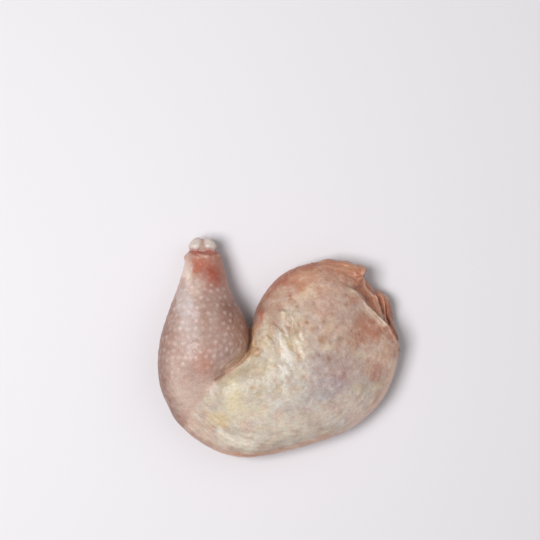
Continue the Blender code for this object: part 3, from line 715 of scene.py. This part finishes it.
def moist_tissue(name, roughness, through, grain, grain_depth, mottle):
    """A moist, slightly translucent tissue in its `tint` colours. Its sizes are in millimetres."""
    made = bpy.data.materials.new(name)
    made.use_nodes = True
    tree = made.node_tree
    shader = tree.nodes["Principled BSDF"]
    shader.inputs["IOR"].default_value = 1.4
    shader.inputs["Subsurface Weight"].default_value = through
    shader.inputs["Subsurface Radius"].default_value = (1.0, 0.45, 0.28)
    shader.inputs["Subsurface Scale"].default_value = 0.0022
    shader.inputs["Coat Weight"].default_value = 0.3
    shader.inputs["Coat Roughness"].default_value = 0.24
    shader.inputs["Coat IOR"].default_value = 1.33
    place = add_node(tree, "ShaderNodeTexCoord")
    tint = add_node(tree, "ShaderNodeAttribute", {"attribute_name": "tint"})
    pull = add_node(
        tree, "ShaderNodeMapping", {"Rotation": (0.0, 0.0, 0.95), "Scale": (0.5, 1.2, 1.0)},
        {"Vector": place.outputs["Object"]},
    )
    patches = add_node(
        tree, "ShaderNodeTexNoise", {"Scale": 1 / (mottle * MM), "Detail": 2.0, "Roughness": 0.6},
        {"Vector": pull.outputs["Vector"]},
    )
    shade = add_node(
        tree, "ShaderNodeMapRange", {"From Min": 0.3, "From Max": 0.7, "To Min": 0.93, "To Max": 1.06},
        {"Value": patches.outputs["Fac"]},
    )
    fine = add_node(
        tree, "ShaderNodeTexNoise", {"Scale": 1 / (0.75 * MM), "Detail": 1.0, "Roughness": 0.7},
        {"Vector": place.outputs["Object"]},
    )
    fine_shade = add_node(
        tree, "ShaderNodeMapRange", {"From Min": 0.3, "From Max": 0.7, "To Min": 0.89, "To Max": 1.1},
        {"Value": fine.outputs["Fac"]},
    )
    both = add_node(
        tree, "ShaderNodeMath", {"operation": "MULTIPLY"},
        {0: shade.outputs["Result"], 1: fine_shade.outputs["Result"]},
    )
    mottled = add_node(
        tree, "ShaderNodeMix", {"data_type": "RGBA", "blend_type": "MULTIPLY", "Factor_Float": 1.0},
        {"A_Color": tint.outputs["Color"], "B_Color": both.outputs[0]},
    )
    sheen = add_node(
        tree, "ShaderNodeMapRange",
        {"From Min": 0.3, "From Max": 0.7, "To Min": roughness - 0.1, "To Max": roughness + 0.1},
        {"Value": patches.outputs["Fac"]},
    )
    tree.links.new(sheen.outputs["Result"], shader.inputs["Roughness"])
    tree.links.new(mottled.outputs[2], shader.inputs["Base Color"])
    wide = add_node(
        tree, "ShaderNodeTexNoise",
        {"Scale": 1 / (grain * MM), "Detail": 3.0, "Roughness": 0.6, "Distortion": 0.8},
        {"Vector": place.outputs["Object"]},
    )
    plain = add_node(tree, "ShaderNodeAttribute", {"attribute_name": "plain"})
    strength = add_node(
        tree, "ShaderNodeMapRange", {"To Min": 0.7, "To Max": 0.3}, {"Value": plain.outputs["Fac"]},
    )
    relief = add_node(
        tree, "ShaderNodeBump", {"Distance": grain_depth * MM},
        {"Height": wide.outputs["Fac"], "Strength": strength.outputs["Result"]},
    )
    tree.links.new(relief.outputs["Normal"], shader.inputs["Normal"])
    return made, mottled


# Raw chicken skin: thin, moist and a little translucent over fat and muscle, so light passes through its
# folds and each follicle catches it. Its mottling and its finest wrinkles are about 2 mm wide. The bumps
# are paler than the skin round them, partly their own colour and partly a painted highlight on each, and
# the pits brown.
raw_skin, mottled = moist_tissue("raw_chicken_skin", 0.38, 0.3, 1.9, 0.45, 2.0)
tree = raw_skin.node_tree
dyed = mottled
for mark, strength, code in (
    # Paler bumps: partly the follicles' own colour, partly a painted highlight on each
    ("bump_mark", 0.24, "#eadfd8"),
    ("pit_mark", 0.6, "#97694f"),
    ("fine_mark", 0.35, "#8d6656"),
):
    follicle = add_node(tree, "ShaderNodeAttribute", {"attribute_name": mark})
    share = add_node(
        tree, "ShaderNodeMath", {"operation": "MULTIPLY", 1: strength}, {0: follicle.outputs["Fac"]},
    )
    dyed = add_node(
        tree, "ShaderNodeMix", {"data_type": "RGBA", "B_Color": hex_linear(code)},
        {"Factor_Float": share.outputs[0], "A_Color": dyed.outputs[2]},
    )
tree.links.new(dyed.outputs[2], tree.nodes["Principled BSDF"].inputs["Base Color"])

follicles = follicle_tree("feather_follicles", raw_skin)
for (spacing, radius, height, least), share, mark in (
    (FOLLICLE_BUMPS, "bump_share", "bump_mark"),
    (FOLLICLE_PITS, "pit_share", "pit_mark"),
    (FINE_FOLLICLES, "pit_share", "fine_mark"),
):
    run_tree(skin, follicles, {
        "Spacing": spacing * MM, "Radius": radius * MM, "Height": height * MM, "Least": least,
        "Seed": FOLLICLE_SEED, "Share": share, "Mark": mark,
    })
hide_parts("leg_quarter")
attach(skin, "root")


# Hip meat: where the leg was cut from the back, wet dark meat lies under a torn brown membrane. The
# membrane ends in a scalloped flap, and two soft rolls of tissue stand beyond it, with deep gaps between.
HIP_GRID = 0.42
HIP_SETTLE_STEPS = 6
HIP_COLOUR = "#b27c62"
MEAT_COLOUR = "#8f4a3b"

# The plane that the piece begins at: a place on it, and the direction of the hip
HIP_PLANE = ((32.0, 32.0, 0.0), (1.0, 1.0, 0.0))

# How far the piece lies inside the solid where it is bare, and how much further where the skin covers it
HIP_INSET = 0.3
HIP_SUNK = 1.6

# The flap's scalloped edge, and how high it stands
FLAP_EDGE = (
    (50.4, 47.0), (50.4, 44.6), (48.8, 41.2), (50.2, 38.0), (50.8, 35.0), (53.4, 31.8),
    (56.8, 29.6), (58.2, 26.2), (58.8, 24.0), (59.8, 20.4), (61.0, 16.6),
)
FLAP_HEIGHT = 1.7

# Folds, rolls and gaps of the membrane: path, half width, height
HIP_FOLDS = (
    (((30.0, 49.4), (38.0, 48.4), (44.0, 46.6), (49.6, 45.8)), 0.8, 0.8),
    (((50.8, 41.0), (48.4, 41.0), (45.6, 40.4)), 0.6, -1.4),
    (((55.0, 33.8), (58.6, 31.8), (60.7, 28.2), (61.5, 24.0), (61.8, 19.5), (62.0, 15.6)), 0.9, 1.7),
    (((61.4, 27.8), (62.6, 23.0), (63.1, 17.8), (64.2, 14.0), (65.6, 11.0), (67.2, 7.6), (69.6, 4.0)),
     0.65, -2.6),
    (((62.2, 29.6), (63.6, 25.0), (64.5, 20.0), (65.4, 16.2), (66.8, 12.4), (68.8, 8.6), (70.6, 4.6)),
     0.9, 0.9),
    (((43.4, 45.2), (46.6, 42.9), (48.8, 41.4)), 0.5, -0.6),
    (((40.6, 41.7), (44.5, 39.6), (47.8, 38.2)), 0.6, -0.7),
    (((42.0, 36.0), (45.4, 34.2), (49.2, 31.4)), 0.8, -0.9),
    (((50.0, 30.8), (51.2, 28.2), (53.6, 25.2)), 1.0, -0.7),
    (((34.6, 43.8), (40.0, 43.4), (45.6, 42.8)), 0.7, -0.4),
    (((30.0, 47.9), (36.0, 47.9), (41.0, 47.0)), 0.6, -0.8),
    (((28.0, 46.4), (34.0, 46.2), (40.0, 45.0), (44.4, 43.6)), 0.5, 0.5),
    (((47.4, 46.4), (47.0, 43.8), (47.8, 41.4)), 0.5, -0.6),
    (((44.6, 46.2), (44.2, 43.0), (45.2, 40.6)), 0.7, 0.5),
    (((38.0, 41.4), (42.0, 39.6), (44.8, 36.8)), 0.7, 0.5),
    (((52.4, 31.4), (54.0, 29.0), (54.8, 25.4)), 0.6, -0.5),
    (((55.0, 28.4), (56.2, 25.6), (57.2, 22.4)), 0.5, 0.5),
    (((36.0, 40.0), (40.6, 38.2), (45.8, 36.6)), 0.9, 0.5),
)

# Small soft lumps by the flap: x, y, radius, height
HIP_LUMPS = (
    (57.8, 22.0, 0.9, 1.0),
    (59.0, 19.8, 0.8, 0.9),
    (59.3, 17.6, 0.7, 0.7),
    (47.6, 44.0, 1.6, 0.5),
    (53.4, 29.0, 1.8, 0.4),
)

# Stains in the membrane: x, y, half width, half length, colour, strength
HIP_STAINS = (
    (45.0, 34.6, 3.4, 1.8, "#864c3a", 0.8),
    (51.5, 30.0, 4.0, 4.0, "#9c5f48", 0.75),
    (56.0, 31.4, 3.4, 3.0, "#854c3a", 0.75),
    (56.0, 25.0, 2.6, 5.0, "#b0755d", 0.6),
    (45.0, 38.0, 5.0, 2.0, "#a4604a", 0.6),
    (47.0, 44.0, 3.6, 2.0, "#b9714f", 0.6),
    (37.0, 39.0, 3.6, 2.6, "#a8745f", 0.5),
    (38.0, 46.6, 6.0, 1.6, "#d09c75", 0.5),
    (58.2, 21.0, 1.6, 2.6, "#c08474", 0.7),
    (61.5, 23.0, 1.6, 8.0, "#a97059", 0.7),
    (64.5, 18.0, 1.6, 8.0, "#95503d", 0.7),
)

hip_meat = remeshed(leg_node, "hip_meat", HIP_GRID, HIP_PLANE)
hip_points = settled(hip_meat.data, points_of(hip_meat.data) / MM, HIP_SETTLE_STEPS)
set_points(hip_meat.data, hip_points)
hip_normals = points_of(hip_meat.data, "normal")
hip_upward = smooth_step(0.0, 0.5, hip_normals[:, 2])
hip_folds = pressed(hip_points, HIP_FOLDS, HIP_LUMPS) * hip_upward
gap, along = near_path(hip_points, HIP_CUT)
crisp = smooth_step(0.15, 0.32, along)
covered = smooth_step(3.0 * (1 - crisp), -1.4 - 3.6 * (1 - crisp), gap)
foot = 0.8 * bell(gap - 0.6, 0.7) * smooth_step(0.3, 0.6, along)
edge_gap, edge_along = near_path(hip_points, FLAP_EDGE)
edge_gap += 0.5 * noise_at(hip_points, 2.0, 27)
flap = FLAP_HEIGHT * np.exp(-np.maximum(-edge_gap, 0) / 3.0) * smooth_step(0.35, -0.35, edge_gap)
flap -= 1.5 * bell(edge_gap - 0.9, 0.8) * smooth_step(0.5, 0.7, edge_along)
hip_folds += flap * hip_upward * smooth_step(0.0, 0.1, edge_along) * smooth_step(1.0, 0.9, edge_along)
uneven = 0.2 * noise_at(hip_points, 2.6, 21) + 0.1 * noise_at(hip_points, 1.2, 22)
rugged = 0.8 * noise_at(hip_points * (1.0, 1.0, 1.7), 6.0, 28) + 0.4 * noise_at(hip_points, 3.0, 29)
uneven += (1 - hip_upward) * rugged

# What the skin covers is smooth, and is drawn in further near the plane
beyond_plane = (hip_points - HIP_PLANE[0]) @ HIP_PLANE[1] / math.sqrt(2)
near_plane = smooth_step(4.0, 1.0, beyond_plane)
hip_points += ((1 - covered) * uneven - HIP_INSET - 1.2 * covered * near_plane)[:, None] * hip_normals
hip_points -= (HIP_SUNK * covered + foot)[:, None] * hip_normals
hip_points[:, 2] = np.maximum(hip_points[:, 2] + hip_folds, 0.0)
hip_points = settled(hip_meat.data, hip_points, 1, 0.3)
set_points(hip_meat.data, hip_points * MM)
hip_meat.data.shade_smooth()

wet = np.tile(hex_linear(HIP_COLOUR)[:3], (len(hip_points), 1))
streaked = hip_points + np.column_stack([noise_at(hip_points, 2.6, k) for k in (23, 24, 25)])
for x, y, wide, long, code, strength in HIP_STAINS:
    wet = tinted_towards(wet, strength * oval(streaked, x, y, wide, long), code)
# Painted shade in the membrane's grooves and gaps and at the cut's foot
wet = tinted_towards(wet, 0.75 * smooth_step(-0.4, -2.0, hip_folds - foot), "#642f21")
# Painted highlight along the flap's edge and on the raised folds
wet = tinted_towards(wet, 0.5 * bell(edge_gap + 0.5, 0.6) * smooth_step(0.0, 0.1, edge_along), "#dcb49c")
wet = tinted_towards(wet, 0.55 * smooth_step(0.5, 1.6, hip_folds), "#cfa48b")
meaty = (1 - hip_upward) * smooth_step(0.0, 0.5, noise_at(hip_points * (1.0, 1.0, 1.5), 7.0, 30) + 0.1)
wet = tinted_towards(wet, 0.6 * meaty, MEAT_COLOUR)
fatty = (1 - hip_upward) * smooth_step(0.05, 0.55, noise_at(hip_points * (0.7, 0.7, 1.6), 5.0, 39))
wet = tinted_towards(wet, 0.5 * fatty, "#dcbf9f")
wet *= 1 + 0.2 * noise_at(hip_points, 3.25, 26)[:, None]

# Where the cut begins, at the top of the thigh, the membrane passes into the skin and has its colours
like_skin, _ = skin_colours(hip_points, hip_normals, 0.4 * hip_folds)
wet += ((1 - smooth_step(0.18, 0.3, along)) * smooth_step(9.0, 1.0, gap))[:, None] * (like_skin - wet)
give_tint(hip_meat.data, wet)

# Raw membrane over dark meat: wetter and redder than the skin, with a sharper shine on its folds
raw_meat, _ = moist_tissue("raw_dark_meat", 0.36, 0.3, 1.1, 0.3, 1.2)
hip_meat.data.materials.append(raw_meat)
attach(hip_meat, "root")


# Hock joint: the bone's end, where the foot was cut off at the joint. Two smooth knobs of white cartilage
# with a groove between them stand out of the skin, with a little red meat at their foot.
HOCK_GRID = 0.45
HOCK_SETTLE_STEPS = 5
HOCK_MIDDLE = -44.6

# The plane that the piece begins at: a place on it, and the direction of the joint
HOCK_PLANE = ((HOCK_MIDDLE, 50.4, 0.0), (-0.1, 1.0, 0.0))

# How far the piece lies inside the solid where it is bare, how much further inside the skin, and the share
# by which its hidden foot is drawn in from the sides
HOCK_INSET = 0.2
HOCK_SUNK = 1.7
HOCK_FOOT_DRAWN = 0.22

# The groove between the knobs: half width, depth, where it begins and where it is full. Their neck: how far
# up it is, half width, depth
KNOB_GROOVE = (2.0, 1.7, 54.5, 57.0)
KNOB_NECK = (56.4, 1.3, 0.9)

hock = remeshed(leg_node, "hock_joint", HOCK_GRID, HOCK_PLANE)
hock_points = settled(hock.data, points_of(hock.data) / MM, HOCK_SETTLE_STEPS)
set_points(hock.data, hock_points)
hock_normals = points_of(hock.data, "normal")
width, depth, start, full = KNOB_GROOVE
hock_folds = -depth * bell(hock_points[:, 0] - HOCK_MIDDLE + 0.5 * noise_at(hock_points, 5.0, 33), width)
hock_folds *= smooth_step(start, full, hock_points[:, 1])
neck, width, depth = KNOB_NECK
hock_folds -= depth * bell(hock_points[:, 1] - neck - 0.8 * noise_at(hock_points, 4.0, 34), width)
hock_folds += 0.12 * noise_at(hock_points, 2.2, 35) + 0.06 * noise_at(hock_points, 1.1, 36)
sunk = HOCK_SUNK * smooth_step(HOCK_CUT + 0.6, HOCK_CUT - 1.4, hock_points[:, 1])
hock_points += (hock_folds - sunk - HOCK_INSET)[:, None] * hock_normals
outward = hock_points - (HOCK_MIDDLE, 0.0, hock_points[:, 2].mean())
outward[:, 1] = 0.0
drawn = HOCK_FOOT_DRAWN * smooth_step(HOCK_CUT - 0.2, HOCK_CUT - 2.0, hock_points[:, 1])
hock_points -= drawn[:, None] * outward
hock_points[:, 2] = np.maximum(hock_points[:, 2], 0.0)
set_points(hock.data, hock_points * MM)
hock.data.shade_smooth()

pearl = np.tile(hex_linear("#c6b9b0")[:3], (len(hock_points), 1))
ragged = 1.0 * noise_at(hock_points, 3.0, 31) + 0.5 * noise_at(hock_points, 1.2, 37)
pearl = tinted_towards(pearl, 0.45 * smooth_step(0.0, 0.5, noise_at(hock_points, 4.0, 32)), "#c39a8c")
pearl = tinted_towards(pearl, 0.35 * smooth_step(0.1, 0.6, noise_at(hock_points, 3.0, 38)), "#b3a6ad")
# Painted shade in the groove between the knobs and round their neck
pearl = tinted_towards(pearl, 0.5 * smooth_step(-0.5, -1.6, hock_folds), "#a8776a")
pearl = tinted_towards(pearl, 0.85 * smooth_step(58.4, 55.2, hock_points[:, 1] + ragged), "#9a4735")
give_tint(hock.data, pearl)

# Joint cartilage: smooth, pearly and wet, so it shines more sharply than the skin
cartilage, _ = moist_tissue("joint_cartilage", 0.3, 0.35, 2.4, 0.12, 2.2)
hock.data.materials.append(cartilage)
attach(hock, "root")


# Studio: a plain pale floor under the leg, a wide soft light from above and the left with a weak one from
# the right to fill its shadows, and the camera straight above, framed as the photograph is.
FLOOR_REACH = 3.0
SENSOR_WIDTH = 36.0

# Where the camera hangs, and the width that it frames at a distance of one metre, in metres
CAMERA_PLACE = (-0.0054, 0.0448, 1.02)
FRAMED_WIDTH = 0.3132

floor_mesh = bpy.data.meshes.new("floor")
corners = [(FLOOR_REACH * x, FLOOR_REACH * y, 0.0) for x, y in ((-1, -1), (1, -1), (1, 1), (-1, 1))]
floor_mesh.from_pydata(corners, [], [(0, 1, 2, 3)])
floor = bpy.data.objects.new("floor", floor_mesh)
bpy.context.scene.collection.objects.link(floor)
floor_finish = bpy.data.materials.new("pale_floor")
floor_finish.use_nodes = True
floor_shader = floor_finish.node_tree.nodes["Principled BSDF"]
floor_shader.inputs["Base Color"].default_value = hex_linear("#d9d6da")
floor_shader.inputs["Roughness"].default_value = 0.7
floor_mesh.materials.append(floor_finish)


def soft_light(name, place, size, watts):
    """A square light of `size` metres at `place`, aimed at the leg."""
    light = bpy.data.lights.new(name, "AREA")
    light.size = size
    light.energy = watts
    lamp = bpy.data.objects.new(name, light)
    lamp.location = place
    lamp.rotation_euler = (-Vector(place)).to_track_quat("-Z", "Y").to_euler()
    bpy.context.scene.collection.objects.link(lamp)


soft_light("window_light", (-0.44, 0.0, 1.06), 0.5, 12.0)
soft_light("fill_light", (0.7, 0.5, 1.0), 1.2, 3.0)

world = bpy.data.worlds.new("pale_room")
world.use_nodes = True
background = world.node_tree.nodes["Background"]
background.inputs["Color"].default_value = (1.0, 1.0, 1.0, 1.0)
background.inputs["Strength"].default_value = 0.3
bpy.context.scene.world = world
bpy.context.scene.view_settings.view_transform = "Standard"

camera_data = bpy.data.cameras.new("camera")
camera_data.sensor_width = SENSOR_WIDTH
camera_data.lens = SENSOR_WIDTH / FRAMED_WIDTH
camera = bpy.data.objects.new("camera", camera_data)
camera.location = CAMERA_PLACE
bpy.context.scene.collection.objects.link(camera)
bpy.context.scene.camera = camera
